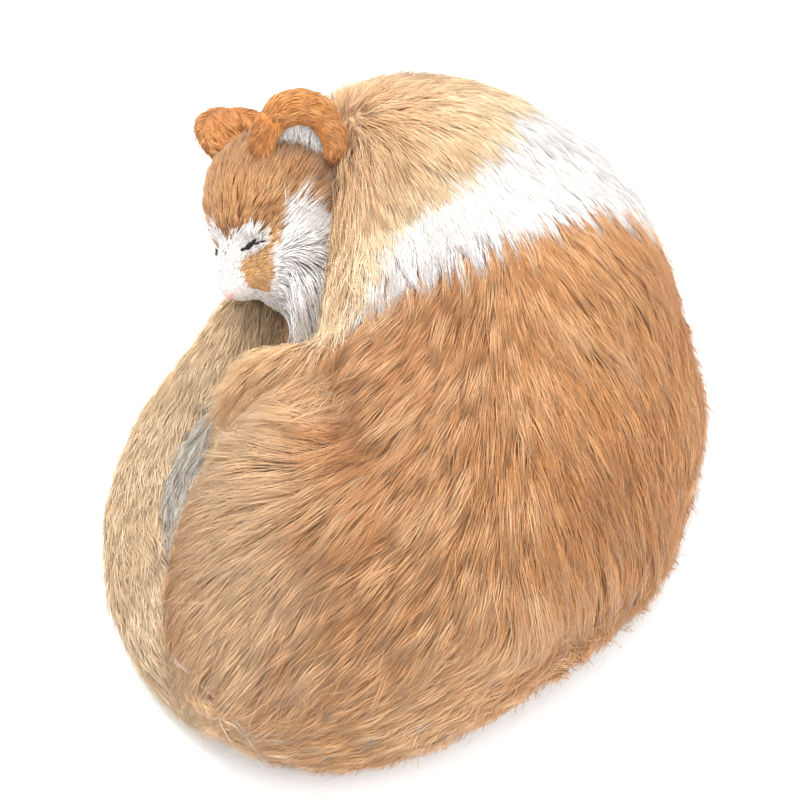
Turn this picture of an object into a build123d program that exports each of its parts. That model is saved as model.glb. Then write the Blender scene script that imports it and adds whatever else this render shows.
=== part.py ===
from build123d import *
import os
from math import cos, hypot, pi, sin

# A life-like cat, curled up asleep: pelts of real fur over a moulded hollow form that stands on a flat board.
# Millimetres, +Z up. The rump points to +X, the neck to -X, the spine to +Y and the face and tail to -Y.
# The origin is on the floor, under the middle of the whole cat.

os.makedirs("parts", exist_ok=True)

# Body: a rounded mound with the outline below at its widest height
skin_top = 100.0
waist_height = 30.0
body_middle = (0.0, 20.0)
body_outline = [
    (149, -43), (134, 10), (117, 44), (92, 74), (62, 98), (30, 110), (-5, 114), (-45, 110),
    (-85, 98), (-118, 80), (-143, 50), (-155, 14), (-156, -18), (-142, -44), (-105, -54), (-70, -50),
    (-40, -48), (-14, -58), (10, -74), (38, -84), (70, -94), (104, -91), (130, -76),
]
fur_depth = 8.0         # fur that stands outside the hide
wadding_depth = 7.0     # hide and wadding between the form and the fur
form_wall = 2.5
haunch_middle = (62.0, -45.0, 44.0)
haunch_radius = 50.0

# Board and felt that the cat stands on
felt_thickness = 1.5
board_thickness = 5.0
board_inset = 14.0
board_top = felt_thickness + board_thickness
coat_floor = 1.0        # the fur just clears the floor

# Head: rests on the tail, turned 31 degrees towards the face side and rolled over by 36 degrees
head_middle = (-90.0, -58.0, 53.0)
head_front = Vector(0.860, -0.510, -0.030).normalized()
head_up = head_front.cross(Vector(0.428, 0.689, 0.586)).normalized()
head_left = head_up.cross(head_front)
head_plane = Plane(origin=head_middle, x_dir=head_front, z_dir=head_up)
head_sections = [(-32, 7), (-27, 18), (-16, 27), (-3, 30), (13, 27), (27, 19), (37, 11), (42, 5)]
face_thickness = 6.0    # fur and hide on the head, over its form
head_regions = {
    "left_eye_patch_pelt": ((8, 26), (14, 40), (-12, 3)),
    "right_eye_patch_pelt": ((8, 26), (-40, -14), (-12, 3)),
    "face_pelt": ((18, 60), (-40, 40), (-40, 40)),
    "crown_pelt": ((-60, 18), (-40, 40), (3, 60)),
    "left_cheek_pelt": ((-60, 18), (0, 40), (-40, 3)),
    "right_cheek_pelt": ((-60, 18), (-40, 0), (-40, 3)),
}
nose_back, nose_up, nose_width, nose_height, nose_depth = 37.0, -2.0, 9.0, 7.0, 7.0
lash_back, lash_depth, lash_width = 22.0, 6.0, 1.6
lash_line = [(8, 1), (13, 3), (18, 7)]
ear_front, ear_left, ear_up = -12.0, 20.0, 18.0
ear_levels = [(-2, 19, 8), (12, 18, 7.5), (22, 13, 6), (30, 5, 3)]
ear_wall = 3.5
lining_thickness = 1.5

# Dowel that joins the head form to the body form
dowel_radius = 7.0
dowel_length = 46.0

# Tail: a padded roll with a wire in it, from under the rump to under the chin
tail_route = [(118, -84, 17), (97, -100, 17), (66, -110, 17), (30, -109, 17), (-4, -98, 17),
              (-30, -84, 16), (-54, -71, 15)]
tail_radius = 15.0
tail_core_radius = 9.0
wire_radius = 1.5
leg_route = [(100, -91, 17), (62, -98, 23), (28, -92, 27), (0, -78, 27)]
leg_radius = 7.0

# Plan outlines that part the body's coat into its pelts, each cut before the next; the flank is what is left
wide_floor = [(-300, -300), (300, -300), (300, 300), (-300, 300)]
body_regions = {
    "ruff_pelt": [(-92, -80), (-92, -20), (-72, -12), (-48, -16), (-30, -22), (-12, -26), (-8, -80)],
    "neck_pelt": [(-220, -120), (-92, -120), (-92, -20), (-72, 8), (-96, 23), (-120, 32), (-220, 70)],
    "shoulder_band_pelt": [(-220, -120), (-8, -120), (-9, -23), (-20, -18), (-31, -6), (-40, 10), (-49, 27),
                           (-57, 43), (-66, 59), (-78, 80), (-86, 160), (-220, 160)],
    "haunch_pelt": [(-60, -160), (-10, -40), (14, -27), (36, -27), (60, -33), (78, -44), (104, -50),
                    (200, -50), (200, -160)],
    "rump_pelt": [(92, -60), (92, 20), (60, 60), (200, 160), (200, -60)],
    "back_pelt": [(-120, 52), (60, 60), (200, 160), (-120, 200)],
    "flank_pelt": None,
}


def level_points(reach, grow):
    """The body's outline, scaled about its middle by reach and moved outwards by grow."""
    points = []
    for x, y in body_outline:
        dx, dy = x - body_middle[0], y - body_middle[1]
        size = hypot(dx, dy)
        scale = reach + grow / size
        points.append((body_middle[0] + dx * scale, body_middle[1] + dy * scale))
    return points


def mound(grow, floor):
    """The body grown outwards by grow, from height floor up: a dome of level outlines and a haunch."""
    top = skin_top + grow
    levels = [(floor, 0.94), (waist_height / 2 + floor / 2, 0.985), (waist_height, 1.0)]
    for step in (0.2, 0.4, 0.6, 0.8, 0.93):
        angle = step * pi / 2
        levels.append((waist_height + (top - waist_height) * sin(angle), cos(angle) ** 0.8))
    with BuildPart() as body:
        for height, reach in levels:
            with BuildSketch(Plane.XY.offset(height)):
                with BuildLine():
                    Spline(*level_points(reach, grow), periodic=True)
                make_face()
        loft()
        with Locations(haunch_middle):
            Sphere(haunch_radius + grow)
        with BuildSketch(Plane.XY.offset(floor)):
            Rectangle(600, 600)
        extrude(amount=-100, mode=Mode.SUBTRACT)
    return body.part


def head_solid(shrink):
    """Round sections along the facing axis, all smaller by shrink, with a smooth skin over them."""
    with BuildPart() as head:
        for place, radius in head_sections:
            with BuildSketch(Plane.YZ.offset(place * (38.0 - shrink) / 38.0)):
                Circle(radius * (30.0 - shrink) / 30.0)
        loft()
    return head_plane.location * head.part


def roll(route, radius, end_radius):
    """A round roll along a smooth route, from radius at its start to end_radius at its end."""
    with BuildPart() as tube:
        with BuildLine() as path:
            Spline(*route)
        for place, size in ((0, radius * 0.8), (0.3, radius), (0.65, radius * 0.95), (1, end_radius)):
            with BuildSketch(Plane(path.line @ place, z_dir=path.line % place)):
                Circle(size)
        sweep(path=path.line, multisection=True)
    return tube.part


def region(points, low=-5.0, high=140.0):
    """An upright block over a plan outline."""
    with BuildPart() as block:
        with BuildSketch(Plane.XY.offset(low)):
            with BuildLine():
                Polyline(*points, close=True)
            make_face()
        extrude(amount=high - low)
    return block.part


def head_block(front, left, up):
    """A block in the head's own axes, from (low, high) along each of them."""
    with BuildPart(head_plane) as block:
        middle = tuple((low + high) / 2 for low, high in (front, left, up))
        with Locations(middle):
            Box(front[1] - front[0], left[1] - left[0], up[1] - up[0])
    return block.part


def finish(piece, name):
    """Names a finished piece and writes its file."""
    piece.label = name
    export_step(piece, f"parts/{name}.step")


# Whole envelopes that the pieces are cut from
coat = mound(fur_depth, coat_floor)
form_outside = mound(-wadding_depth, board_top)
form_inside = mound(-wadding_depth - form_wall, board_top - 1.0)
head_fur = head_solid(0.0)
head_core = head_solid(face_thickness)
tail_fur = roll(tail_route, tail_radius, 9.0)
tail_pad = roll(tail_route, tail_core_radius, 6.0)
leg_fur = roll(leg_route, leg_radius, 5.0)

# Base ----------------------------------------------------------------------------------------
with BuildPart() as base_felt:
    with BuildSketch():
        with BuildLine():
            Spline(*level_points(0.94, -board_inset - 2.0), periodic=True)
        make_face()
    extrude(amount=felt_thickness)
finish(base_felt.part, "base_felt")

with BuildPart() as base_board:
    with BuildSketch(Plane.XY.offset(felt_thickness)):
        with BuildLine():
            Spline(*level_points(0.94, -board_inset), periodic=True)
        make_face()
    extrude(amount=board_thickness)
finish(base_board.part, "base_board")

# Forms ---------------------------------------------------------------------------------------
dowel_start = head_plane.from_local_coords((-8, 0, -2))
dowel_plane = Plane(origin=dowel_start, z_dir=(-0.55, 0.83, -0.05))

with BuildPart() as neck_dowel:
    with BuildSketch(dowel_plane):
        Circle(dowel_radius)
    extrude(amount=dowel_length)
finish(neck_dowel.part, "neck_dowel")

with BuildPart() as head_form:
    add(head_core)
    add(neck_dowel.part, mode=Mode.SUBTRACT)
finish(head_form.part, "head_form")

with BuildPart() as body_form:
    add(form_outside)
    add(form_inside, mode=Mode.SUBTRACT)
    add(head_fur, mode=Mode.SUBTRACT)
    add(tail_fur, mode=Mode.SUBTRACT)
    add(neck_dowel.part, mode=Mode.SUBTRACT)
finish(body_form.part, "body_form")


# Tail ----------------------------------------------------------------------------------------
with BuildPart() as tail_wire:
    add(roll(tail_route[:-1], wire_radius, wire_radius))
finish(tail_wire.part, "tail_wire")

with BuildPart() as tail_form:
    add(tail_pad)
    add(tail_wire.part, mode=Mode.SUBTRACT)
    add(head_fur, mode=Mode.SUBTRACT)
finish(tail_form.part, "tail_form")

with BuildPart() as tail_pelt:
    add(tail_fur)
    add(tail_pad, mode=Mode.SUBTRACT)
    add(head_fur, mode=Mode.SUBTRACT)
    add(region(wide_floor, -60.0, coat_floor), mode=Mode.SUBTRACT)
finish(tail_pelt.part, "tail_pelt")

# Body pelts ----------------------------------------------------------------------------------
with BuildPart() as base_trim_pelt:
    add(coat)
    add(region(wide_floor, board_top, 150.0), mode=Mode.SUBTRACT)
    with BuildSketch(Plane.XY.offset(coat_floor)):
        with BuildLine():
            Spline(*level_points(0.94, -board_inset), periodic=True)
        make_face()
    extrude(amount=board_top, mode=Mode.SUBTRACT)
    add(head_fur, mode=Mode.SUBTRACT)
    add(tail_fur, mode=Mode.SUBTRACT)
finish(base_trim_pelt.part, "base_trim_pelt")

with BuildPart() as hind_leg_pelt:
    add(leg_fur)
    add(tail_fur, mode=Mode.SUBTRACT)
    add(form_outside, mode=Mode.SUBTRACT)
    add(base_trim_pelt.part, mode=Mode.SUBTRACT)
finish(hind_leg_pelt.part, "hind_leg_pelt")

pelt_neighbours = {
    "ruff_pelt": (head_fur,),
    "neck_pelt": (head_fur, neck_dowel.part),
    "shoulder_band_pelt": (head_fur,),
    "haunch_pelt": (tail_fur, leg_fur),
    "rump_pelt": (tail_fur,),
}
taken = []
for name, plan in body_regions.items():
    with BuildPart() as pelt:
        add(coat)
        add(region(plan or wide_floor, board_top), mode=Mode.INTERSECT)
        for earlier in taken:
            add(region(earlier), mode=Mode.SUBTRACT)
        add(form_outside, mode=Mode.SUBTRACT)
        for other in pelt_neighbours.get(name, ()):
            add(other, mode=Mode.SUBTRACT)
    finish(pelt.part, name)
    if plan:
        taken.append(plan)

# Head pelts and details ------------------------------------------------------------------------
with BuildPart() as head_coat:
    add(head_fur)
    add(head_core, mode=Mode.SUBTRACT)
    add(neck_dowel.part, mode=Mode.SUBTRACT)

with BuildPart() as nose_blank:
    with BuildSketch(Plane.YZ.offset(nose_back)):
        with Locations((0, nose_up)):
            RectangleRounded(nose_width, nose_height, 2.4)
    extrude(amount=nose_depth)
    fillet(nose_blank.faces().sort_by(Axis.X)[-1].edges(), 1.5)
finish(head_plane.location * nose_blank.part, "nose")

lashes = []
for side, name in ((1, "left_eyelash"), (-1, "right_eyelash")):
    with BuildPart() as lash:
        with BuildSketch(Plane.YZ.offset(lash_back)):
            with BuildLine():
                curve = ThreePointArc(*[(side * left, up) for left, up in lash_line])
            trace(line_width=lash_width)
        extrude(amount=lash_depth)
    lashes.append(head_plane.location * lash.part)
    finish(lashes[-1], name)

head_taken = []
for name, (front, left, up) in head_regions.items():
    with BuildPart() as pelt:
        add(head_coat.part)
        add(head_block(front, left, up), mode=Mode.INTERSECT)
        for earlier in head_taken:
            add(head_block(*earlier), mode=Mode.SUBTRACT)
        add(head_plane.location * nose_blank.part, mode=Mode.SUBTRACT)
        for strip in lashes:
            add(strip, mode=Mode.SUBTRACT)
    finish(pelt.part, name)
    head_taken.append((front, left, up))

# Ears: a folded cup of fur, lined with white, on each side of the crown --------------------------
for side, name in ((1, "left"), (-1, "right")):
    base = head_plane.from_local_coords((ear_front, side * ear_left, ear_up))
    axis = head_up * 0.88 + head_left * (side * 0.38) - head_front * 0.15
    chord = head_left * (side * 0.8) - head_front * 0.5
    ear_plane = Plane(origin=base, x_dir=chord - axis * (chord.dot(axis) / axis.dot(axis)), z_dir=axis)
    with BuildPart() as cup:
        for height, width, depth in ear_levels:
            with BuildSketch(Plane.XY.offset(height)):
                Ellipse(width, depth)
        loft()
    with BuildPart() as hollow:
        for height, width, depth in ear_levels:
            with BuildSketch(Plane.XY.offset(height - ear_wall)):
                with Locations((0, -side * ear_wall)):
                    Ellipse(width - ear_wall, depth)
        loft()
    with BuildPart() as mouth:
        for height, width, depth in ear_levels:
            with BuildSketch(Plane.XY.offset(height - ear_wall)):
                with Locations((0, -side * (ear_wall + lining_thickness))):
                    Ellipse(width - ear_wall, depth)
        loft()
    with BuildPart() as ear_shell:
        add(ear_plane.location * cup.part)
        add(ear_plane.location * hollow.part, mode=Mode.SUBTRACT)
        add(head_fur, mode=Mode.SUBTRACT)
        add(coat, mode=Mode.SUBTRACT)
    finish(ear_shell.part, f"{name}_ear_shell")
    with BuildPart() as ear_lining:
        add(ear_plane.location * (cup.part & hollow.part))
        add(ear_plane.location * mouth.part, mode=Mode.SUBTRACT)
        add(head_fur, mode=Mode.SUBTRACT)
        add(coat, mode=Mode.SUBTRACT)
    finish(ear_lining.part, f"{name}_ear_lining")
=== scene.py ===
import math
import bpy
import numpy as np
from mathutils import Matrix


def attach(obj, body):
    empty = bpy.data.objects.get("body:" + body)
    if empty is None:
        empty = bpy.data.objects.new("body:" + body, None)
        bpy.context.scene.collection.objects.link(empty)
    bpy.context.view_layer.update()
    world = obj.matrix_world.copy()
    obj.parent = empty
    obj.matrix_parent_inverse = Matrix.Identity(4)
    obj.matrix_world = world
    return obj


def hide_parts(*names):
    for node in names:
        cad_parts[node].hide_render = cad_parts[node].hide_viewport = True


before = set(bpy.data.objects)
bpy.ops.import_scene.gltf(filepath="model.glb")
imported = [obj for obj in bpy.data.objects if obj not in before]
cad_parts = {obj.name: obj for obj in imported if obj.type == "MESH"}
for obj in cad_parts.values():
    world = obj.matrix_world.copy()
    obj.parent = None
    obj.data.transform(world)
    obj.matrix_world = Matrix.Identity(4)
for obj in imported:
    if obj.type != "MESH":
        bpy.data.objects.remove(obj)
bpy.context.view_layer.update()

mm = 0.001
viewBack = np.array([0.5, 0.0, 0.866])
rng = np.random.default_rng(711)


# ---- small helpers -------------------------------------------------------------------------

def unit(v):
    # each row divided by its own length
    return v / np.maximum(np.linalg.norm(v, axis=-1, keepdims=True), 1e-9)


def ramp(x, low, high):
    # 0 below low, 1 above high, smooth in between
    s = np.clip((x - low) / (high - low), 0, 1)
    return s * s * (3 - 2 * s)


def blob(x, y, cx, cy, ax, ay, turn=0.0):
    # a round hill of height 1 at (cx, cy), ax and ay wide, turned by turn
    dx, dy = x - cx, y - cy
    a = (math.cos(turn) * dx + math.sin(turn) * dy) / ax
    b = (-math.sin(turn) * dx + math.cos(turn) * dy) / ay
    return np.exp(-(a * a + b * b))


def waves(p, size, seed):
    # a soft random field, -1 to 1: the mean of eight sine waves in random directions
    r = np.random.default_rng(seed)
    k = unit(r.normal(size=(8, 3))) * r.uniform(0.6, 1.7, (8, 1)) * 2 * math.pi / size
    return np.sin(p @ k.T + r.uniform(0, 6.28, 8)).mean(-1) * 1.8


def triangleMesh(name, points, triangles, uv=None, slots=None, smooth=True):
    # one mesh straight from whole arrays: points (n, 3), triangles (m, 3), a uv for each point
    mesh = bpy.data.meshes.new(name)
    mesh.vertices.add(len(points))
    mesh.vertices.foreach_set("co", np.ascontiguousarray(points, np.float32).ravel())
    mesh.loops.add(triangles.size)
    mesh.loops.foreach_set("vertex_index", triangles.astype(np.int32).ravel())
    mesh.polygons.add(len(triangles))
    mesh.polygons.foreach_set("loop_start", np.arange(0, triangles.size, 3, dtype=np.int32))
    mesh.polygons.foreach_set("use_smooth", np.full(len(triangles), smooth))
    if slots is not None:
        mesh.polygons.foreach_set("material_index", slots.astype(np.int32))
    mesh.update(calc_edges=True)
    if uv is not None:
        layer = mesh.uv_layers.new(name="strand")
        layer.uv.foreach_set("vector", uv[triangles.ravel()].astype(np.float32).ravel())
    piece = bpy.data.objects.new(name, mesh)
    bpy.context.scene.collection.objects.link(piece)
    return piece


def gridTriangles(rows, columns, wrapColumns=True):
    # two triangles for each cell of a grid, with the last column joined to the first
    i, j = np.meshgrid(np.arange(rows - 1), np.arange(columns if wrapColumns else columns - 1), indexing="ij")
    k = (j + 1) % columns
    a, b, c, d = i * columns + j, i * columns + k, (i + 1) * columns + k, (i + 1) * columns + j
    return np.concatenate([np.stack([a, b, c], -1).reshape(-1, 3), np.stack([a, c, d], -1).reshape(-1, 3)])


def closedGrid(grid):
    # a grid whose columns wrap round, with a middle point added to close its first and its last row
    rows, columns = grid.shape[:2]
    points = np.concatenate([grid.reshape(-1, 3), grid[0].mean(0)[None], grid[-1].mean(0)[None]])
    j = np.arange(columns)
    k = (j + 1) % columns
    foot, top = rows * columns, rows * columns + 1
    first = np.stack([np.full(columns, foot), k, j], -1)
    last = np.stack([np.full(columns, top), (rows - 1) * columns + j, (rows - 1) * columns + k], -1)
    return points, np.concatenate([gridTriangles(rows, columns), first, last])


def surfaceAt(shape, a, b, step=1e-3):
    # point, outward normal and both tangents of a surface, from small differences of its two parameters
    p = shape(a, b)
    da = (shape(a + step, b) - shape(a - step, b)) / (2 * step)
    db = (shape(a, b + step) - shape(a, b - step)) / (2 * step)
    n = np.cross(da, db)
    return p, unit(n), da, db, np.linalg.norm(n, axis=-1)


def scatter(shape, count, wanted, aRange, bRange):
    # random places on a surface, even in area, thinned by the share wanted(p) gives there
    tries = count * 14
    a = rng.uniform(*aRange, tries)
    b = rng.uniform(*bRange, tries)
    p, n, da, db, area = surfaceAt(shape, a, b)
    weight = area * wanted(p, a, b)
    pick = rng.choice(tries, size=min(count, int((weight > 0).sum())), replace=False, p=weight / weight.sum())
    return p[pick], n[pick], a[pick], b[pick], da[pick], db[pick]


# ---- body shape ----------------------------------------------------------------------------

body = {
    "top": 100.0, "waist": 30.0, "middle": (0.0, 20.0), "order": 7, "squareness": 2.5,
    "outline": [(149, -43), (134, 10), (117, 44), (92, 74), (62, 98), (30, 110), (-5, 114), (-45, 110),
                (-85, 98), (-118, 80), (-143, 50), (-155, 14), (-156, -18), (-142, -44), (-105, -56),
                (-70, -56), (-40, -60), (-14, -68), (10, -76), (38, -84), (70, -94), (104, -91), (130, -76)],
}


def fitSeries(order):
    # least squares: the outline's distance from the middle as a sum of cosines and sines of the angle
    d = np.array(body["outline"], float) - body["middle"]
    angle, reach = np.arctan2(d[:, 1], d[:, 0]), np.hypot(d[:, 0], d[:, 1])
    k = np.arange(1, order + 1)
    basis = np.hstack([np.ones((len(angle), 1)), np.cos(np.outer(angle, k)), np.sin(np.outer(angle, k))])
    calm = 1e-3 * np.diag(np.r_[0, k ** 2, k ** 2])
    return np.linalg.solve(basis.T @ basis + calm, basis.T @ reach)


fine, plain = fitSeries(body["order"]), fitSeries(2)


def series(angle, weights):
    k = np.arange(1, (len(weights) - 1) // 2 + 1)
    turns = angle[..., None] * k
    return weights[0] + np.cos(turns) @ weights[1:len(k) + 1] + np.sin(turns) @ weights[len(k) + 1:]


def bodyShape(angle, rise):
    # a dome: at each rise from 0 (floor) to 1 (top) the outline shrinks as a rounded square-ish arc,
    # and the fine outline turns into a plain one; the haunch, the neck and the creases are soft hills
    a = -0.5 + rise * (math.pi / 2 + 0.5)
    up, down = np.clip(a, 0, math.pi / 2), np.clip(a, None, 0)
    reach = np.where(a >= 0, np.cos(up) ** (2 / body["squareness"]), 1 - 0.10 * (down / 0.5) ** 2)
    z = np.where(a >= 0, body["waist"] + (body["top"] - body["waist"]) * np.sin(up), body["waist"] * (1 + down / 0.5))
    mix = ramp(rise, 0.3, 0.8)
    r = (series(angle, fine) * (1 - mix) + series(angle, plain) * mix) * reach
    x, y = body["middle"][0] + r * np.cos(angle), body["middle"][1] + r * np.sin(angle)
    hills = (11 * blob(x, y, 62, -50, 48, 34, 0.25) - 3 * blob(x, y, 22, -26, 46, 12, 0.3)
             + 14 * blob(x, y, -116, -2, 40, 55) - 5 * blob(x, y, -62, -2, 16, 34, 0.5)
             - 42 * ramp(-y, 24, 50) * ramp(x, -140, -112) * ramp(-x, 0, 30) + 5 * blob(x, y, -10, 55, 60, 40))
    z = np.maximum(z + hills * np.clip(z / 40, 0, 1), 0.3 * z)
    return np.stack([x, y, z], -1) * mm


# borders between the pelts, in plan: given points with straight lines between them
def bandFoot(y):
    return np.interp(y, [-40, -23, -18, -6, 10, 27, 43, 59, 80, 110], [-8, -9, -20, -31, -40, -49, -57, -66, -78, -86])


def bandHead(x):
    return np.interp(x, [-150, -120, -96, -77, -58, -38, -12], [42, 32, 23, 11, -5, -16, -26])


def haunchEdge(x):
    return np.interp(x, [-10, 14, 36, 60, 78, 104, 200], [-40, -27, -27, -33, -44, -50, -50])


def bodyRegion(p):
    # 0 flank, 1 back, 2 rump, 3 haunch, 4 shoulder band, 5 neck, 6 ruff, for points in metres
    x, y = p[..., 0] / mm, p[..., 1] / mm
    area = np.zeros(x.shape, int)
    area = np.where(y > 56, 1, area)
    area = np.where((x > 88) & (y < 62 + 0.5 * (x - 88)), 2, area)
    area = np.where(y < haunchEdge(x), 3, area)
    fore = x < bandFoot(y)
    area = np.where(fore & (y > bandHead(x)), 4, area)
    area = np.where(fore & (y <= bandHead(x)), 5, area)
    return np.where((area == 5) & (x > -92), 6, area)


def bodyFlow(p):
    # the way the coat lies in plan, as turns from straight back (+X) towards the spine side (+Y):
    # a fan from a parting along the flank, another out of the hip over the haunch, one out from behind
    # the ears over the neck, and a sweep round the rump
    x, y = p[..., 0] / mm, p[..., 1] / mm
    flank = np.interp(y, [-40, -16, 5, 25, 46, 67, 90, 115], [-50, -47, -40, -18, 22, 36, 42, 40])
    rump = np.interp(y, [-90, -60, -20, 5, 25, 60, 90], [-48, -46, -41, -36, -30, -33, -30])
    aft = ramp(x, 100, 124)
    turned = np.radians(flank * (1 - aft) + rump * aft) + 0.12 * waves(p, 0.05, 3) + 0.07 * waves(p, 0.018, 4)
    way = np.stack([np.cos(turned), np.sin(turned)], -1)
    hip = np.stack([x - 63, y + 16], -1)
    overHaunch = ramp(-y, 16, 40) * ramp(x, 20, 56) * (0.25 + 0.75 * ramp(-x, -125, -85))
    way = unit(way * (1 - overHaunch)[..., None] + unit(hip) * overHaunch[..., None])
    nape = unit(np.stack([x + 122, y + 30], -1))
    far = np.hypot(x + 122, y + 30)
    nape = unit(nape + np.stack([0.95 * ramp(far, 12, 85), 0 * far], -1))
    fore = ramp(bandFoot(y) + 22 - x, 0, 34)
    way = unit(way * (1 - fore)[..., None] + nape * fore[..., None])
    return np.concatenate([way, np.zeros_like(x)[..., None]], -1)


# ---- fur -----------------------------------------------------------------------------------

def growFur(name, roots, normals, flows, tone, s, material):
    # each hair is a closed three-sided spike: rings of three points along a bent middle line, then a tip.
    # middle line: root + length * (start * t + bend * t squared), pulled towards the mean line of its lock
    n = len(roots)
    flows = unit(flows - normals * (flows * normals).sum(-1, keepdims=True))
    side = np.cross(normals, flows)
    cell = np.floor((roots + waves(roots, 0.02, 9)[:, None] * 0.0012) / (s["lock"] * mm)).astype(np.int64)
    key = (cell[:, 0] * 73856093) ^ (cell[:, 1] * 19349663) ^ (cell[:, 2] * 83492791)
    _, lock = np.unique(key, return_inverse=True)
    lockCount = np.bincount(lock)
    lockTurn = rng.normal(0, s["lockSwing"], len(lockCount))[lock]
    lockTone = rng.normal(0, 1, len(lockCount))[lock]
    swing = lockTurn + rng.normal(0, s["swing"], n)
    lift = s["lift"] * (1 + rng.normal(0, 0.35, n))
    stray = rng.random(n) < s["stray"]
    swing = swing + stray * rng.normal(0, 0.45, n)
    lift = np.clip(lift + stray * rng.uniform(0.1, 0.5, n), 0.03, 1.4)
    length = s["length"] * mm * np.clip(1 + rng.normal(0, 0.16, n) + 0.10 * lockTone, 0.45, 1.5)
    ahead = flows * np.cos(swing)[:, None] + side * np.sin(swing)[:, None]
    start = ahead * np.cos(lift)[:, None] + normals * np.sin(lift)[:, None]
    bend = -normals * (s["droop"] * np.sin(lift))[:, None] + side * rng.normal(0, s["curl"], n)[:, None] + s.get("sway", 0)
    stations = np.array(s.get("stations", [0, 0.5]))
    tip = roots + length[:, None] * (start + bend)
    lockTip = np.stack([np.bincount(lock, tip[:, i]) / lockCount for i in range(3)], -1)[lock]
    pull = (lockTip - tip) * (s["gather"] * ~stray)[:, None]
    across = unit(np.cross(start, normals))
    over = np.cross(across, start)
    width = s["width"] * mm * rng.uniform(0.75, 1.25, n) * (1 - 0.35 * stray)
    rings = []
    for t in stations:
        middle = roots + length[:, None] * (start * t + bend * t * t) + pull * t ** 1.5
        half = (width * (1 - 0.55 * t))[:, None] / 2
        for turn in (0, 2 * math.pi / 3, 4 * math.pi / 3):
            rings.append(middle + half * (across * math.cos(turn) + over * math.sin(turn)))
    rings.append(tip + pull)
    points = np.stack(rings, 1)
    points[..., 2] = np.maximum(points[..., 2], 0.6 * mm + 0.02 * np.abs(points[..., 2]))
    per, last = points.shape[1], 3 * (len(stations) - 1)
    faces = [(2, 1, 0)]
    for ring in range(len(stations) - 1):
        for k in range(3):
            a, b = 3 * ring + k, 3 * ring + (k + 1) % 3
            faces += [(a, b, b + 3), (a, b + 3, a + 3)]
    faces += [(last + k, last + (k + 1) % 3, per - 1) for k in range(3)]
    triangles = (np.array(faces)[None] + (np.arange(n) * per)[:, None, None]).reshape(-1, 3)
    shade = np.clip(tone + s["toneSpread"] * rng.normal(0, 1, n) + s["lockTone"] * lockTone, 0.02, 0.98)
    along = np.repeat(np.r_[np.repeat(stations, 3), 1.0][None], n, 0)
    uv = np.stack([np.repeat(shade[:, None], per, 1), along], -1).reshape(-1, 2)
    piece = triangleMesh(name, points.reshape(-1, 3), triangles, uv)
    piece.data.materials.append(material)
    print("grew", name, n, "hairs", len(triangles), "triangles")
    return piece


# ---- materials -----------------------------------------------------------------------------

def socket(group, name, kind, direction, value=None):
    made = group.interface.new_socket(name=name, in_out=direction, socket_type=kind)
    if value is not None:
        made.default_value = value
    return made


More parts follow.
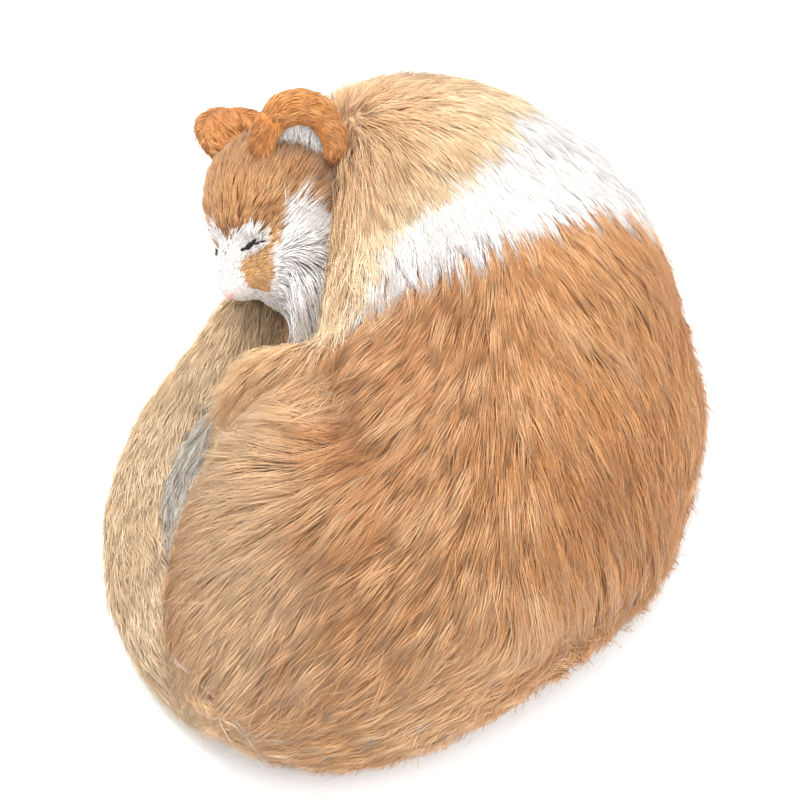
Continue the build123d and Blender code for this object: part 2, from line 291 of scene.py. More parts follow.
def hairToneGroup():
    # colour of a hair: dark to middle to light by its own tone, darker at the root, paler at the tip,
    # with a slow patchy drift over the coat
    g = bpy.data.node_groups.new("hairTone", "ShaderNodeTree")
    for label in ("Dark", "Middle", "Light"):
        socket(g, label, "NodeSocketColor", "INPUT", (0.5, 0.5, 0.5, 1))
    socket(g, "Root Shade", "NodeSocketFloat", "INPUT", 0.6)
    socket(g, "Patch Size", "NodeSocketFloat", "INPUT", 30.0)
    socket(g, "Patch Strength", "NodeSocketFloat", "INPUT", 0.2)
    socket(g, "Color", "NodeSocketColor", "OUTPUT")
    socket(g, "Roughness", "NodeSocketFloat", "OUTPUT")
    nodes, links = g.nodes, g.links
    inside, out = nodes.new("NodeGroupInput"), nodes.new("NodeGroupOutput")
    uv = nodes.new("ShaderNodeUVMap")
    uv.uv_map = "strand"
    parts = nodes.new("ShaderNodeSeparateXYZ")
    links.new(uv.outputs[0], parts.inputs[0])
    place = nodes.new("ShaderNodeTexCoord")
    noise = nodes.new("ShaderNodeTexNoise")
    noise.inputs["Detail"].default_value = 3
    links.new(place.outputs["Object"], noise.inputs["Vector"])
    links.new(inside.outputs["Patch Size"], noise.inputs["Scale"])
    drift = nodes.new("ShaderNodeMath")
    drift.operation = "SUBTRACT"
    links.new(noise.outputs["Fac"], drift.inputs[0])
    drift.inputs[1].default_value = 0.5
    patch = nodes.new("ShaderNodeMath")
    patch.operation = "MULTIPLY_ADD"
    links.new(drift.outputs[0], patch.inputs[0])
    links.new(inside.outputs["Patch Strength"], patch.inputs[1])
    links.new(parts.outputs["X"], patch.inputs[2])
    lowHalf, highHalf = nodes.new("ShaderNodeMapRange"), nodes.new("ShaderNodeMapRange")
    for node, low, high in ((lowHalf, 0.0, 0.5), (highHalf, 0.5, 1.0)):
        links.new(patch.outputs[0], node.inputs["Value"])
        node.inputs["From Min"].default_value, node.inputs["From Max"].default_value = low, high
    first, second = nodes.new("ShaderNodeMix"), nodes.new("ShaderNodeMix")
    for node in (first, second):
        node.data_type = "RGBA"
    links.new(lowHalf.outputs[0], first.inputs[0])
    links.new(inside.outputs["Dark"], first.inputs[6])
    links.new(inside.outputs["Middle"], first.inputs[7])
    links.new(highHalf.outputs[0], second.inputs[0])
    links.new(first.outputs[2], second.inputs[6])
    links.new(inside.outputs["Light"], second.inputs[7])
    root = nodes.new("ShaderNodeMapRange")
    links.new(parts.outputs["Y"], root.inputs["Value"])
    root.inputs["From Max"].default_value = 0.7
    links.new(inside.outputs["Root Shade"], root.inputs["To Min"])
    root.inputs["To Max"].default_value = 1.0
    paler = nodes.new("ShaderNodeMix")
    paler.data_type = "RGBA"
    tipShare = nodes.new("ShaderNodeMapRange")
    links.new(parts.outputs["Y"], tipShare.inputs["Value"])
    tipShare.inputs["From Min"].default_value = 0.35
    tipShare.inputs["To Max"].default_value = 0.35
    links.new(tipShare.outputs[0], paler.inputs[0])
    links.new(second.outputs[2], paler.inputs[6])
    links.new(inside.outputs["Light"], paler.inputs[7])
    shaded = nodes.new("ShaderNodeVectorMath")
    shaded.operation = "SCALE"
    links.new(paler.outputs[2], shaded.inputs[0])
    links.new(root.outputs[0], shaded.inputs["Scale"])
    links.new(shaded.outputs[0], out.inputs["Color"])
    rough = nodes.new("ShaderNodeMapRange")
    links.new(parts.outputs["X"], rough.inputs["Value"])
    rough.inputs["To Min"].default_value, rough.inputs["To Max"].default_value = 0.62, 0.48
    links.new(rough.outputs[0], out.inputs["Roughness"])
    return g


hairTone = hairToneGroup()


def furMaterial(name, dark, middle, light, rootShade=0.6, patchSize=28.0, patchStrength=0.35, sheen=0.15):
    mat = bpy.data.materials.new(name)
    mat.use_nodes = True
    nodes, links = mat.node_tree.nodes, mat.node_tree.links
    shader = nodes["Principled BSDF"]
    tone = nodes.new("ShaderNodeGroup")
    tone.node_tree = hairTone
    for label, colour in (("Dark", dark), ("Middle", middle), ("Light", light)):
        tone.inputs[label].default_value = (*colour, 1)
    tone.inputs["Root Shade"].default_value = rootShade
    tone.inputs["Patch Size"].default_value = patchSize
    tone.inputs["Patch Strength"].default_value = patchStrength
    links.new(tone.outputs["Color"], shader.inputs["Base Color"])
    links.new(tone.outputs["Roughness"], shader.inputs["Roughness"])
    shader.inputs["Specular IOR Level"].default_value = 0.25
    shader.inputs["Sheen Weight"].default_value = sheen
    shader.inputs["Sheen Roughness"].default_value = 0.4
    return mat


brownFur = furMaterial("brownFur", (0.36, 0.12, 0.028), (0.66, 0.30, 0.105), (0.92, 0.63, 0.37), 0.60)
whiteFur = furMaterial("whiteFur", (0.76, 0.70, 0.67), (0.89, 0.85, 0.83), (0.95, 0.93, 0.92), 0.92, 20, 0.2)
creamFur = furMaterial("creamFur", (0.66, 0.35, 0.15), (0.88, 0.60, 0.34), (0.97, 0.80, 0.57), 0.8)
tanFur = furMaterial("tanFur", (0.36, 0.15, 0.05), (0.62, 0.32, 0.13), (0.84, 0.56, 0.31), 0.64, 60, 0.4)
tailFur = furMaterial("tailFur", (0.66, 0.43, 0.24), (0.86, 0.65, 0.42), (0.95, 0.80, 0.60), 0.82)
goldenFur = furMaterial("goldenFur", (0.46, 0.22, 0.08), (0.70, 0.40, 0.17), (0.88, 0.62, 0.34), 0.7, 60, 0.3)
# white fur darkened to grey: the shade that falls on the white fur low down, between the tail and the haunch and round
# the base, is painted into its colour
whiteFurPaintedShade = furMaterial("whiteFurPaintedShade", (0.50, 0.44, 0.37), (0.70, 0.65, 0.58), (0.86, 0.83, 0.79), 0.85, 40, 0.3)
lashHair = furMaterial("lashHair", (0.004, 0.004, 0.005), (0.010, 0.009, 0.009), (0.03, 0.028, 0.028), 1.0)
noseSkin = furMaterial("noseSkin", (0.28, 0.20, 0.21), (0.85, 0.42, 0.44), (0.95, 0.60, 0.62), 1.0)
orangeFur = furMaterial("orangeFur", (0.42, 0.12, 0.02), (0.72, 0.30, 0.08), (0.88, 0.50, 0.22), 0.66, 60, 0.25)


# ---- body ----------------------------------------------------------------------------------

def makeHide(name, grid, inset, regionOf, materials, tone=0.35):
    # the skin under the fur: the closed grid, one material for each region of the coat; inset is not used
    rows = grid.shape[0]
    points, triangles = closedGrid(grid)
    slots = regionOf(points[triangles].mean(1))
    uv = np.full((len(points), 2), (tone, 0.25))
    piece = triangleMesh(name, points, triangles, uv, slots)
    for m in materials:
        piece.data.materials.append(m)
    print("hide", name, rows, len(triangles))
    return piece


angles, rises = np.meshgrid(np.linspace(0, 2 * math.pi, 240, endpoint=False), np.linspace(0.057, 0.995, 90), indexing="xy")
bodyGrid = bodyShape(angles, rises)
slotOfRegion = np.array([0, 0, 0, 0, 1, 2, 2])
bodyHide = makeHide("body_hide", bodyGrid, 0, lambda p: slotOfRegion[bodyRegion(p)], [brownFur, whiteFur, creamFur])
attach(bodyHide, "root")
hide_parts("body_form")

coat = {"length": 29, "width": 0.37, "lift": 0.24, "droop": 0.75, "curl": 0.06, "lock": 4.0, "gather": 0.66,
        "swing": 0.10, "lockSwing": 0.13, "stray": 0.012, "toneSpread": 0.09, "lockTone": 0.11}
pelts = {
    "flank_pelt": (0, 16500, brownFur, {}),
    "back_pelt": (1, 16500, brownFur, {"lift": 0.30, "stray": 0.02}),
    "rump_pelt": (2, 16500, brownFur, {"lift": 0.28, "stray": 0.02}),
    "haunch_pelt": (3, 16500, brownFur, {"swing": 0.14, "stray": 0.03}),
    "shoulder_band_pelt": (4, 15500, whiteFur, {"length": 25, "lift": 0.24, "lock": 3.8, "lockSwing": 0.1}),
    "neck_pelt": (5, 15500, creamFur, {"length": 24, "lift": 0.38, "stray": 0.05, "swing": 0.2}),
    "ruff_pelt": (6, 8000, creamFur, {"length": 26, "lift": 0.26}),
}


def bodyTone(p):
    # where the coat is darker or lighter: patches, in plan
    x, y = p[..., 0] / mm, p[..., 1] / mm
    tone = 0.56 - 0.36 * blob(x, y, 42, 80, 34, 24) - 0.20 * blob(x, y, 66, 58, 26, 16) - 0.28 * blob(x, y, -44, 96, 40, 22)
    # the +0.5 patch on the top of the haunch (x 14, y -66) is its beige fur with a painted highlight where the light
    # falls on the bulge
    tone += 0.42 * blob(x, y, 70, -60, 50, 24, 0.2) + 0.18 * blob(x, y, 108, -70, 40, 24) + 0.5 * blob(x, y, 14, -66, 30, 22)
    # the -0.16 patch along the spine-side edge (x 20, y 112) is painted shade, where the side of the dome turns from
    # the light
    tone += 0.10 * blob(x, y, -20, -16, 24, 18) - 0.16 * blob(x, y, 20, 112, 60, 20) + 0.07 * waves(p, 0.035, 12) - 0.12 * blob(x, y, -22, 26, 26, 14)
    tone += 0.10 * blob(x, y, 130, 20, 40, 60)
    return tone


def neckTone(p):
    # the neck goes from tan at the crown to pale cream beside the white band
    x, y = p[..., 0] / mm, p[..., 1] / mm
    return 0.30 + 0.42 * ramp(y - bandHead(x), -42, -6) + 0.15 * ramp(x, -100, -60) + 0.08 * waves(p, 0.03, 5)


for name, (area, count, material, change) in pelts.items():
    s = {**coat, **change}
    edge = 2.5 * mm
    wanted = lambda p, a, b: (bodyRegion(p + rng.normal(0, edge, p.shape)) == area) * (p[..., 2] > 5 * mm)
    p, n, *_ = scatter(bodyShape, count, wanted, (0, 2 * math.pi), (0.06, 0.999))
    n = np.where(n[:, 2:3] < -0.6, -n, n)
    tone = bodyTone(p) + 0.2 * (area == 3) if area < 4 else neckTone(p) if area > 4 else 0.5 + 0.1 * waves(p, 0.03, 7)
    rim = ramp(-p[:, 2] / mm, -62, -20) * (0.6 + 0.6 * waves(p, 0.014, 21))
    pelt = growFur(name, p, n, bodyFlow(p), tone, {**s, "lift": s["lift"] + 0.5 * np.clip(rim, 0, 1)}, material)
    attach(pelt, "root")
    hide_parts(name)


# ---- rolled and tubular shapes -------------------------------------------------------------

def tubeShape(points, radii, flat=1.0, facing=(0, 0, 1), roundEnds=0.08):
    # a round bar along a smooth path: middle(s) + radius(s) * (side * cos + over * sin); the ends close as half rounds
    points, radii = np.array(points, float), np.array(radii, float)
    knots = np.r_[0, np.cumsum(np.linalg.norm(np.diff(points, axis=0), axis=1))]
    knots /= knots[-1]
    s = np.linspace(0, 1, 161)
    slopes = np.gradient(points, knots, axis=0)
    k = np.clip(np.searchsorted(knots, s, side="right") - 1, 0, len(knots) - 2)
    h = (knots[k + 1] - knots[k])[:, None]
    x = ((s - knots[k]) / h[:, 0])[:, None]
    path = ((1 + 2 * x) * (1 - x) ** 2 * points[k] + x * (1 - x) ** 2 * h * slopes[k]
            + x * x * (3 - 2 * x) * points[k + 1] + x * x * (x - 1) * h * slopes[k + 1])
    ahead = unit(np.gradient(path, axis=0))
    over = unit(np.array(facing, float) - ahead * (ahead @ np.array(facing, float))[:, None])
    side = np.cross(ahead, over)

    def shape(a, b):
        a = np.clip(a, 0, 1)
        pick = lambda table: np.stack([np.interp(a, s, table[:, i]) for i in range(3)], -1)
        tip = np.minimum(a, 1 - a) / roundEnds
        r = np.interp(a, knots, radii) * np.sqrt(np.clip(1 - (1 - np.clip(tip, 0, 1)) ** 2, 0, 1))
        ring = pick(side) * (np.cos(b) * r)[..., None] + pick(over) * (np.sin(b) * r * flat)[..., None]
        return (pick(path) + ring) * mm
    return shape


def sheetGrid(shape, rows, columns, low=0.0, high=1.0, around=-1):
    # a grid over a closed shape, going round it the way that keeps its outside facing out
    a, b = np.meshgrid(np.linspace(low, high, rows), np.linspace(0, around * 2 * math.pi, columns, endpoint=False), indexing="ij")
    return shape(a, b)


def skinOf(name, grid, material, tone=0.45, along=0.4):
    # the bare hide of one piece
    points, triangles = closedGrid(grid)
    piece = triangleMesh(name, points, triangles, np.full((len(points), 2), (tone, along)))
    piece.data.materials.append(material)
    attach(piece, "root")
    return piece


# ---- head ----------------------------------------------------------------------------------

head = {
    "middle": (-87.0, -58.0, 58.0), "front": (0.860, -0.510, -0.030), "left": (0.428, 0.689, 0.586),
    # round masses that blend into the skull: middle, then half sizes, along front, left and up
    "masses": [((-3, 0, 2), (31, 29.5, 29)), ((18, 0, -4), (26, 15, 15)), ((9, 13, -14), (28, 22, 24)), ((5, -10, -12), (24, 20, 22))],
    "blend": 2.2,
}
front = unit(np.array(head["front"]))
headUp = unit(np.cross(front, np.array(head["left"])))
left = np.cross(headUp, front)
headAxes = np.stack([front, left, headUp])


def fromHead(c):
    return (np.array(head["middle"]) + np.asarray(c, float) @ headAxes) * mm


def toHead(p):
    return (p / mm - np.array(head["middle"])) @ headAxes.T


def headShape(away, around):
    # from the middle of the head, how far out the skin is in each direction: a soft maximum of
    # the distances to the far side of each round mass
    d = np.stack([np.cos(away), np.sin(away) * np.cos(around), np.sin(away) * np.sin(around)], -1)
    total = 0
    for m, q in head["masses"]:
        m, q = np.array(m, float), np.array(q, float)
        a, b, c = (d * d / q ** 2).sum(-1), (d * m / q ** 2).sum(-1), (m * m / q ** 2).sum() - 1
        total = total + np.exp((b + np.sqrt(b * b - a * c)) / a / head["blend"])
    r = head["blend"] * np.log(total)
    c = d * r[..., None]
    socket = 2.0 * blob(np.abs(c[..., 1]), c[..., 2], 10, 4, 6, 5) * ramp(c[..., 0], 8, 18)
    return fromHead(c * (1 - socket / r)[..., None])


def chart(c):
    # side view of the head, in mm right and up; the far half is folded onto the near one
    f, l, t = c[..., 0], np.abs(c[..., 1]), c[..., 2]
    return np.stack([-0.510 * f + 0.689 * l - 0.517 * t, -0.760 * f - 0.078 * l + 0.646 * t], -1)


def inside(q, corners):
    # a point is inside when a line from it to the right crosses an odd number of edges
    c = np.array(corners, float)
    d = np.roll(c, -1, 0)
    x, y = q[..., 0:1], q[..., 1:2]
    crossed = (c[:, 1] > y) != (d[:, 1] > y)
    at = c[:, 0] + (y - c[:, 1]) / (d[:, 1] - c[:, 1] + 1e-9) * (d[:, 0] - c[:, 0])
    return (crossed & (x < at)).sum(-1) % 2 == 1


markings = {
    "lid": [(-20.5, -18), (-18, -8), (-8, -5.5), (-2, -9), (-2, -15), (-8, -18.5), (-13, -20.5)],
    "muzzle": [(-20.5, -18), (-13, -20.5), (-14, -25.5), (-11, -33), (-2, -36), (5, -60), (-10, -60), (-40, -50), (-34, -12), (-28, -10)],
    "cheek": [(0.5, -28), (-2, -36), (2, -70), (60, -70), (60, -10), (23, -2), (16.5, 2), (10.5, 4.5), (4, 2),
              (3.5, -13), (-1, -18)],
    "patch": [(3, -3), (3.5, -13), (-1, -18), (0.5, -28), (-2, -36), (-11, -33), (-14, -25.5), (-13, -20.5), (-8, -18.5),
              (-2, -15), (-2, -9), (-1, -4)],
}


def headRegion(c):
    # 0 crown, 1 face, 2 left cheek, 3 right cheek, 4 left eye patch, 5 right eye patch
    q = chart(c)
    far = (c[..., 1] < 0).astype(int)
    area = np.zeros(c.shape[:-1], int)
    area = np.where(inside(q, markings["cheek"]), 2 + far, area)
    area = np.where(inside(q, markings["patch"]), 4 + far, area)
    return np.where(inside(q, markings["muzzle"]) | inside(q, markings["lid"]), 1, area)


headMaterials = [tanFur, whiteFur, whiteFur, whiteFur, goldenFur, goldenFur]
awayAngles, roundAngles = np.linspace(0.01, math.pi - 0.01, 110), np.linspace(2 * math.pi, 0, 140, endpoint=False)
headGrid = headShape(*np.meshgrid(awayAngles, roundAngles, indexing="ij"))
hidePoints, hideTriangles = closedGrid(headGrid)
hideSlots = np.array([0, 1, 1, 1, 2, 2])[headRegion(toHead(hidePoints[hideTriangles].mean(1)))]
headHide = triangleMesh("head_hide", hidePoints, hideTriangles, np.full((len(hidePoints), 2), (0.4, 0.3)), hideSlots)
for m in (tanFur, whiteFur, goldenFur):
    headHide.data.materials.append(m)
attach(headHide, "root")
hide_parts("head_form")

allRoots, allNormals, _, _, allFlows, _ = scatter(headShape, 36000, lambda p, a, b: (p[..., 2] > 12 * mm), (0.02, 3.1), (0, 2 * math.pi))
c = toHead(allRoots)
q = chart(c)
u, v = q[:, 0], q[:, 1]
eyeGap = blob(u, v, -10.5, -16, 6, 3.6, 0.5)
furLength = 4.5 + 7.5 * ramp(v, -26, 6) + 8 * inside(q, markings["cheek"]) * ramp(u, -2, 8)
furLength += 12 * ramp(-v, 14, 34) * ramp(u, 0, 9) * ramp(c[:, 1], -4, 6) + 8 * blob(u, v, 9, 13, 15, 8) - 4.0 * blob(u, v, -20, -36, 12, 9)
furLength = furLength * (1 - 0.5 * eyeGap)
flowOut = unit(allFlows)
hang = np.array([1.0, 0.03, 0.0])
hangShare = ramp(-v, 10, 30) * ramp(u, -2, 8) * ramp(c[:, 1], -4, 6)
flowOut = unit(flowOut * (1 - 0.8 * hangShare)[:, None] + hang * (0.8 * hangShare)[:, None])
flowOut = unit(flowOut + 0.22 * waves(allRoots, 0.02, 31)[:, None] * np.cross(allNormals, flowOut))
# the colour of a hair is read where its middle lies, so that the markings show where they are drawn
seen = toHead(allRoots + flowOut * (furLength * 0.5 * mm)[:, None]) + rng.normal(0, 0.8, c.shape)
seen[:, 1] = np.where(np.sign(seen[:, 1]) == np.sign(c[:, 1]), seen[:, 1], 0.01 * np.sign(c[:, 1]))
area = headRegion(seen)
crownTone = 0.30 + 0.12 * waves(allRoots, 0.018, 40) + 0.16 * blob(u, v, 0, 2, 9, 6) - 0.12 * blob(u, v, -20, -8, 6, 12)
# the darker patch on the crown's right side below the near ear (u 22, v 4) is painted shade
crownTone -= 0.14 * blob(u, v, 22, 4, 8, 10)
coatOfHead = {"width": 0.46, "lift": 0.30, "droop": 0.7, "curl": 0.08, "lock": 3.2, "gather": 0.5, "swing": 0.16,
              "lockSwing": 0.14, "stray": 0.05, "toneSpread": 0.13, "lockTone": 0.06, "stations": [0, 0.5]}
headPieces = ["crown_pelt", "face_pelt", "left_cheek_pelt", "right_cheek_pelt", "left_eye_patch_pelt", "right_eye_patch_pelt"]
headTones = [crownTone, 0.45, 0.8, 0.55, 0.5 + 0.1 * waves(allRoots, 0.01, 41), 0.5]
for i, name in enumerate(headPieces):
    on = (area == i) & (eyeGap < rng.uniform(0.45, 1.15, len(area)))
    tone = headTones[i] if np.isscalar(headTones[i]) else headTones[i][on]
    pelt = growFur(name, allRoots[on], allNormals[on], flowOut[on], tone, {**coatOfHead, "length": furLength[on], "lift": 0.28 + 0.7 * hangShare[on],
                    "droop": 0.7 - 0.6 * hangShare[on], "sway": hang * (0.75 * hangShare[on])[:, None]}, headMaterials[i])
    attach(pelt, "root")
    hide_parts(name)


def onHead(right, above):
    # the point of the near side of the head that is right and above mm from its middle in the side view
    a, b = np.meshgrid(np.linspace(0.05, 2.4, 260), np.linspace(-1.6, 1.6, 300), indexing="ij")
    p, n, *_ = surfaceAt(headShape, a, b)
    q = chart(toHead(p))
    gap = np.hypot(q[..., 0] - right, q[..., 1] - above) + 100 * (n @ viewBack < 0.05)
    at = np.unravel_index(gap.argmin(), gap.shape)
    return a[at], b[at]


# ---- ears ----------------------------------------------------------------------------------

viewRight, viewUp = np.array([0.0, 1.0, 0.0]), np.array([-0.866, 0.0, 0.5])
ears = {
    # each ear has a base point and three directions: along its mouth, up its height and out of its cup
    "left": {"base": (-12, 18, 17.5), "chord": viewRight, "height": unit(0.9 * viewUp + 0.42 * viewBack),
             "rim": [(-15, -4), (-14.5, 5), (-12.5, 15), (-7, 22), (0.5, 24.5), (8, 22.5), (13.5, 16), (15.5, 8), (13, 2)],
             "thick": [4.4, 5.2, 5.6, 6.6, 6.9, 6.4, 5.6, 4.8, 3.4], "cup": (14, 14.5, 8), "count": 4200},
    "right": {"base": (-16, -19, 27), "chord": unit(-0.74 * viewRight - 0.67 * viewUp), "height": unit(-0.76 * viewRight + 0.62 * viewUp - 0.15 * viewBack),
              "rim": [(-12.5, -4), (-12, 2), (-7.5, 8), (-2.5, 12.2), (2.5, 13.6), (6.2, 12), (8.8, 6.5), (9.5, -1)],
              "thick": [1.8, 1.9, 1.9, 1.9, 1.9, 1.9, 1.9, 1.8], "cup": (9.5, 11.5, 1.5), "count": 2200},
}
for sideName, e in ears.items():
    base = fromHead(e["base"]) / mm
    chord = e["chord"]
    height = unit(e["height"] - chord * (e["height"] @ chord))
    out = np.cross(chord, height)
    rimPoints = [base + chord * x + height * y + out * 0.006 * (x * x) for x, y in e["rim"]]
    rim = tubeShape(rimPoints, e["thick"], 1.0, out, 0.06)
    rimSkin = skinOf(sideName + "_ear_rim", sheetGrid(rim, 70, 20), orangeFur, 0.35, 0.4)

    def cup(a, b, e=e, base=base, chord=chord, height=height, out=out):
        # the ear behind its rim: a bowl of half a squashed ball, thin from front to back
        x = np.sin(a * math.pi) * np.cos(b)
        y = np.sin(a * math.pi) * np.sin(b)
        z = np.cos(a * math.pi)
        depth = np.where(z > 0, 1.0, 6.0) * z - 0.5 - 1.5 * (1 - x * x - y * y)
        return (base + chord * (e["cup"][0] * x)[..., None] + height * (e["cup"][2] + e["cup"][1] * y)[..., None] + out * depth[..., None]) * mm

    # the far ear is seen from behind its cup, the near one from in front
    p, n, a, b, da, db = scatter(rim, e["count"], lambda p, a, b: np.ones(a.shape), (0.01, 0.99), (0, 2 * math.pi))
    along = da * np.where(a > 0.36, 1, -1)[:, None]
    short = {"width": 0.42, "lift": 0.22, "droop": 0.8, "curl": 0.1, "lock": 2.6, "gather": 0.4, "swing": 0.2, "lockSwing": 0.2,
             "stray": 0.03, "toneSpread": 0.12, "lockTone": 0.08, "length": 6.0 + 1.5 * rng.random(len(a)), "stations": [0, 0.5]}
    rimTone = 0.52 + 0.10 * waves(p, 0.012, 51) - 0.20 * blob(a, a * 0, 0.0, 0, 0.10, 1) - 0.25 * blob(a, a * 0, 1.0, 0, 0.10, 1)
    backRoots, backNormals, ba, bb, bda, bdb = scatter(cup, 1800, lambda p, a, b: (a > 0.5) * 1.0, (0.5, 0.98), (0, 2 * math.pi))
    backNormals = np.where(((backNormals @ out) > 0)[:, None], -backNormals, backNormals)
    roots, normals = np.concatenate([p, backRoots]), np.concatenate([n, backNormals])
    flows = np.concatenate([along + chord * 0.004, np.tile(height, (len(ba), 1))])
    shellLength = np.concatenate([short["length"], np.full(len(ba), 6.0)])
    tone = np.concatenate([rimTone, 0.45 + 0.1 * waves(backRoots, 0.012, 52)])
    shell = growFur(sideName + "_ear_shell", roots, normals, flows, tone, {**short, "length": shellLength}, orangeFur)
    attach(shell, "root")
    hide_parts(sideName + "_ear_shell")
    backSkin = skinOf(sideName + "_ear_back", sheetGrid(cup, 40, 48, 0.02, 0.98), orangeFur, 0.4, 0.4)
    p, n, a, b, da, db = scatter(cup, 1700, lambda p, a, b: (a < 0.45) * 1.0, (0.02, 0.45), (0, 2 * math.pi))
    n = np.where(((n @ out) < 0)[:, None], -n, n)
    soft = {**short, "length": np.full(len(a), 11.0), "lift": 0.6, "width": 0.42}
    lining = growFur(sideName + "_ear_lining", p, n, np.tile(height * 0.9 + chord * 0.3, (len(a), 1)), 0.85, soft, whiteFur)
    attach(lining, "root")
    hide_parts(sideName + "_ear_lining")


# ---- eyes and nose -------------------------------------------------------------------------

def spikes(name, rows, material):
    # closed six-sided thorns: each row has a start, a middle and an end point and a half width
    count = len(rows)
    start, middle, end = (np.array([r[i] for r in rows], float) for i in range(3))
    half = np.array([r[3] for r in rows], float)
    t = np.array([0.0, 0.15, 0.4, 0.7, 1.0])
    size = np.array([0.35, 0.9, 1.0, 0.7, 0.04])
    path = ((1 - t) ** 2)[None, :, None] * start[:, None] + (2 * t * (1 - t))[None, :, None] * middle[:, None] + (t * t)[None, :, None] * end[:, None]
    ahead = unit(end - start)
    side = unit(np.cross(ahead, viewBack))
    over = np.cross(side, ahead)
    turns = np.arange(6) * math.pi / 3
    ring = side[:, None] * np.cos(turns)[None, :, None] + over[:, None] * (0.7 * np.sin(turns))[None, :, None]
    points = path[:, :, None] + ring[:, None] * (half[:, None] * size)[:, :, None, None]
    corner = gridTriangles(5, 6)
    caps = [(0, k + 1, k) for k in range(1, 5)] + [(24, 24 + k, 25 + k) for k in range(1, 5)]
    one = np.concatenate([corner[:, ::-1], np.array(caps)[:, ::-1]])
    triangles = (one[None] + (np.arange(count) * 30)[:, None, None]).reshape(-1, 3)
    piece = triangleMesh(name, points.reshape(-1, 3) * mm, triangles, np.full((count * 30, 2), 0.5))
    piece.data.materials.append(material)
    return piece


lash = {"line": [(-13.7, -17.9), (-11.3, -16.6), (-9.0, -14.4), (-6.5, -13.6), (-4.0, -13.2)], "half": [2.0, 2.2, 0.9, 0.45, 0.3]}
linePoints = np.array([onHead(*x) for x in lash["line"]])
for sideName, mirror in (("left", 1.0), ("right", -1.0)):
    a, b = linePoints[:, 0], linePoints[:, 1]
    foot, normal, *_ = surfaceAt(headShape, a if mirror > 0 else a + 0.05, b if mirror > 0 else math.pi + 0.6 - b)
    rows = []
    for i in range(len(linePoints) - 1):
        for k in range(5):
            p0, p1, n0 = foot[i] / mm, foot[i + 1] / mm, normal[i]
            slide = rng.uniform(-0.2, 1.0)
            start = p0 * (1 - slide) + p1 * slide + n0 * (2.4 if mirror > 0 else 1.0)
            reach = rng.uniform(2.4, 4.2)
            lift = rng.uniform(-0.12, 0.22)
            heading = unit(p1 - p0 + viewUp * lift * np.linalg.norm(p1 - p0))
            rows.append((start, start + heading * reach * 0.5 + n0 * 0.8, start + heading * reach + n0, lash["half"][i] * rng.uniform(0.35, 0.6) * (1 if mirror > 0 else 0.6)))
    lashes = spikes(sideName + "_eyelash", rows, lashHair)
    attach(lashes, "root")
    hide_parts(sideName + "_eyelash")

nose = {"middle": (40.5, 0.0, -4.8), "half": (4.2, 5.6, 3.3)}


def noseShape(a, b):
    # a rounded heart: wide above, narrow below, with two nostril dents and a groove between them
    f, l, t = np.cos(a * math.pi), np.sin(a * math.pi) * np.cos(b), np.sin(a * math.pi) * np.sin(b)
    narrow = 1 - 0.42 * ramp(-t, -0.4, 1.0)
    dent = 0.22 * (blob(l, t, 0.55, -0.12, 0.22, 0.26) + blob(l, t, -0.55, -0.12, 0.22, 0.26)) + 0.10 * blob(l, t, 0, -0.4, 0.10, 0.5)
    k = 1 - dent * (f > 0)
    c = np.stack([f * nose["half"][0] * k, l * nose["half"][1] * narrow, t * nose["half"][2]], -1)
    return fromHead(c + nose["middle"])


points, triangles = closedGrid(sheetGrid(noseShape, 60, 72, 0.004, 0.996))
c = (toHead(points) - nose["middle"]) / nose["half"]
nostril = blob(np.abs(c[:, 1]), c[:, 2], 0.5, -0.12, 0.18, 0.22) * (c[:, 0] > 0)
nosePiece = triangleMesh("nose", points, triangles, np.stack([0.62 - 0.6 * nostril, np.ones(len(points))], -1))
nosePiece.data.materials.append(noseSkin)
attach(nosePiece, "root")
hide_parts("nose")
print("head done")


# ---- tail, hind leg and base fringe --------------------------------------------------------

limbs = {
    "tail_pelt": {"route": [(126, -78, 15), (97, -99, 17), (66, -109, 18), (30, -109, 18), (-4, -99, 18), (-30, -85, 18), (-56, -70, 17), (-76, -56, 17)],
                  "radii": [11, 14, 15.5, 15.5, 14.5, 13, 12, 9], "count": 12500, "fur": tailFur, "slot": "cream_fur", "tone": 0.5},
    # the hind leg's white fur uses the grey copy of the white fur, with the shade on it painted in
    "hind_leg_pelt": {"route": [(112, -84, 14), (88, -90, 21), (62, -96, 26), (28, -92, 30), (0, -76, 30), (-12, -66, 26)],
                      "radii": [6, 7, 7.5, 7.5, 7, 6], "count": 4000, "fur": whiteFurPaintedShade, "slot": "white_fur", "tone": 0.5},
}
for name, s in limbs.items():
    shape = tubeShape(s["route"], s["radii"])
    skinOf(name.replace("pelt", "hide"), sheetGrid(shape, 120, 28), s["fur"])
    p, n, a, b, da, db = scatter(shape, s["count"], lambda p, a, b: (p[..., 2] > 4 * mm) * 1.0, (0.01, 0.99), (0, 2 * math.pi))
    flow = unit(-unit(da) + np.array([0.35, 0.1, 0.0]) + 0.25 * waves(p, 0.03, 61)[:, None] * np.array([0.0, 1.0, 0.0]))
    hair = {"length": 19.0, "width": 0.42, "lift": 0.26, "droop": 0.8, "curl": 0.1, "lock": 3.6, "gather": 0.45, "swing": 0.14,
            "lockSwing": 0.14, "stray": 0.04, "toneSpread": 0.12, "lockTone": 0.06, "stations": [0, 0.5]}
    pelt = growFur(name, p, n, flow, s["tone"] + 0.1 * waves(p, 0.04, 62), hair, s["fur"])
    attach(pelt, "root")
    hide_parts(name)

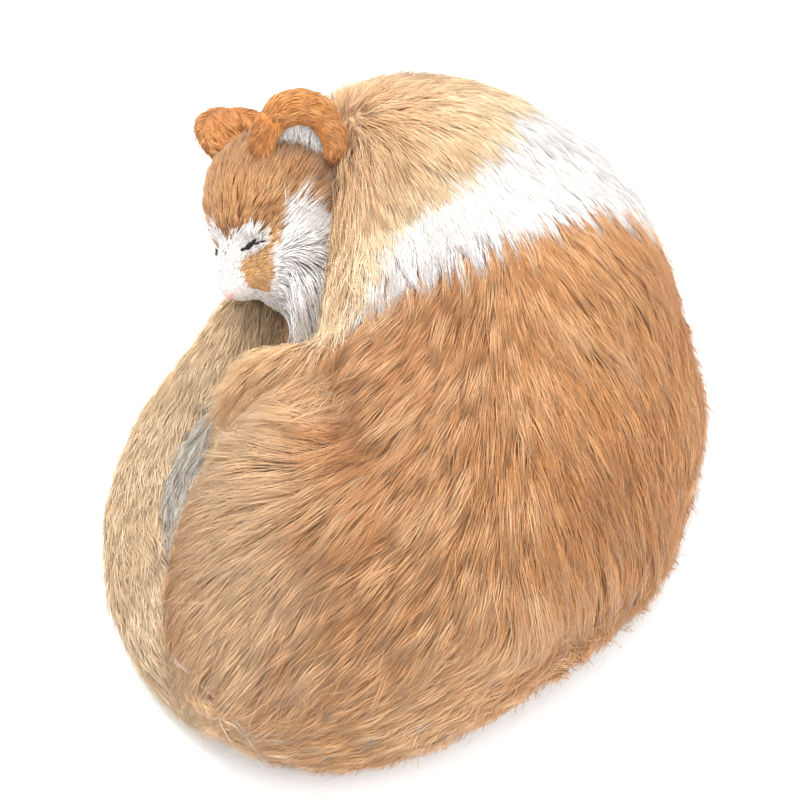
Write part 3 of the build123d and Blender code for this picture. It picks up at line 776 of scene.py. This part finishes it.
edgeAngle = rng.uniform(-math.pi, math.pi, 14000)
p, n, da, db, _ = surfaceAt(bodyShape, edgeAngle, rng.uniform(0.05, 0.3, 14000))
keep = (p[:, 1] > -75 * mm) | (p[:, 0] > 100 * mm)
p, n = p[keep], n[keep]
outward = unit(n * np.array([1, 1, 0]) + 1e-9)
flow = unit(outward + 0.6 * bodyFlow(p))
fringe = {**coat, "length": 29.0, "lift": 0.12, "width": 0.42, "stray": 0.05, "lock": 5.0, "swing": 0.2, "stations": [0, 0.5], "gather": 0.5}
# the white base fringe uses the grey copy of the white fur, with the shade near the floor painted in
trim = growFur("base_trim_pelt", p, outward, flow + outward, 0.5 + 0.1 * waves(p, 0.04, 63), {**fringe, "droop": 0.4}, whiteFurPaintedShade)
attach(trim, "root")
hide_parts("base_trim_pelt")


# ---- pieces kept from the CAD --------------------------------------------------------------

def twoToneMaterial(name, first, second, size, stretch, roughness, metal, relief):
    # two tones mixed by stretched noise in the piece's own space, with the same noise as a fine relief
    mat = bpy.data.materials.new(name)
    mat.use_nodes = True
    nodes, links = mat.node_tree.nodes, mat.node_tree.links
    shader = nodes["Principled BSDF"]
    place, scale, noise = nodes.new("ShaderNodeTexCoord"), nodes.new("ShaderNodeMapping"), nodes.new("ShaderNodeTexNoise")
    scale.inputs["Scale"].default_value = stretch
    noise.inputs["Scale"].default_value = size
    noise.inputs["Detail"].default_value = 5
    mix, bump = nodes.new("ShaderNodeMix"), nodes.new("ShaderNodeBump")
    mix.data_type = "RGBA"
    mix.inputs[6].default_value, mix.inputs[7].default_value = (*first, 1), (*second, 1)
    bump.inputs["Strength"].default_value = relief
    bump.inputs["Distance"].default_value = 0.0005
    links.new(place.outputs["Object"], scale.inputs["Vector"])
    links.new(scale.outputs[0], noise.inputs["Vector"])
    links.new(noise.outputs["Fac"], mix.inputs[0])
    links.new(noise.outputs["Fac"], bump.inputs["Height"])
    links.new(mix.outputs[2], shader.inputs["Base Color"])
    links.new(bump.outputs[0], shader.inputs["Normal"])
    shader.inputs["Roughness"].default_value = roughness
    shader.inputs["Metallic"].default_value = metal
    return mat


keptPieces = {
    "base_board": twoToneMaterial("boardFibre", (0.30, 0.19, 0.10), (0.44, 0.30, 0.17), 90, (1, 6, 1), 0.75, 0.0, 0.3),
    "base_felt": twoToneMaterial("blackFelt", (0.015, 0.015, 0.016), (0.05, 0.05, 0.052), 900, (1, 1, 1), 0.95, 0.0, 0.8),
    "neck_dowel": twoToneMaterial("dowelWood", (0.52, 0.36, 0.20), (0.68, 0.51, 0.32), 60, (1, 1, 8), 0.6, 0.0, 0.2),
    "tail_form": twoToneMaterial("paddingFelt", (0.70, 0.68, 0.62), (0.82, 0.80, 0.75), 500, (1, 1, 1), 0.95, 0.0, 0.7),
    "tail_wire": twoToneMaterial("wireSteel", (0.50, 0.50, 0.51), (0.60, 0.60, 0.61), 300, (1, 1, 1), 0.35, 1.0, 0.1),
}
for name, material in keptPieces.items():
    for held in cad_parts[name].material_slots:
        held.link = "OBJECT"
        held.material = material


# ---- camera, light and floor ---------------------------------------------------------------

# the view: from the cat's right side, 60 degrees up, with a long lens
eye = {"turn": 90.0, "rise": 60.0, "far": 1.4, "focus": (0.0, 0.0058, 0.0415)}
turn, rise = math.radians(eye["turn"]), math.radians(eye["rise"])
back = np.array([math.sin(turn) * math.cos(rise), -math.cos(turn) * math.cos(rise), math.sin(rise)])
right = np.array([math.cos(turn), math.sin(turn), 0.0])
upward = np.cross(back, right)
camera = bpy.data.objects.new("camera", bpy.data.cameras.new("camera"))
camera.data.lens = 151.2
camera.data.sensor_width = 36.0
camera.data.clip_start = 0.05
aim = np.array([0.0, 0.0, 0.035]) - right * 5.8 * mm + upward * 6.7 * mm
camera.location = aim + back * eye["far"]
camera.rotation_euler = (math.pi / 2 - rise, 0, turn)
bpy.context.scene.collection.objects.link(camera)
bpy.context.scene.camera = camera


def softBox(name, place, target, size, power, colour):
    lamp = bpy.data.objects.new(name, bpy.data.lights.new(name, "AREA"))
    lamp.data.shape = "RECTANGLE"
    lamp.data.size, lamp.data.size_y = size
    lamp.data.energy = power
    lamp.data.color = colour
    lamp.location = place
    away = unit(np.array(place, float) - np.array(target, float))
    lamp.rotation_euler = (math.acos(away[2]), 0, math.atan2(away[1], away[0]) + math.pi / 2)
    bpy.context.scene.collection.objects.link(lamp)
    return lamp


softBox("key", (-0.65, -0.55, 1.25), (0, 0, 0.03), (0.9, 0.9), 21, (1.0, 0.98, 0.95))
softBox("fill", (0.9, 0.8, 0.9), (0, 0, 0.03), (1.2, 1.2), 14, (1.0, 0.99, 0.98))
softBox("over", (0.0, 0.1, 1.5), (0, 0, 0.03), (1.6, 1.6), 14, (1, 1, 1))

bpy.context.scene.view_settings.view_transform = "Standard"
world = bpy.data.worlds.new("studio")
bpy.context.scene.world = world
world.use_nodes = True
world.node_tree.nodes["Background"].inputs[0].default_value = (1, 1, 1, 1)
world.node_tree.nodes["Background"].inputs[1].default_value = 0.82

floorMat = bpy.data.materials.new("floor")
floorMat.use_nodes = True
floorMat.node_tree.nodes["Principled BSDF"].inputs["Base Color"].default_value = (0.93, 0.93, 0.93, 1)
floorMat.node_tree.nodes["Principled BSDF"].inputs["Roughness"].default_value = 0.8
floorMesh = bpy.data.meshes.new("floor")
floorMesh.from_pydata([(-6, -6, 0), (6, -6, 0), (6, 6, 0), (-6, 6, 0)], [], [(0, 1, 2, 3)])
floorMesh.materials.append(floorMat)
floor = bpy.data.objects.new("floor", floorMesh)
bpy.context.scene.collection.objects.link(floor)
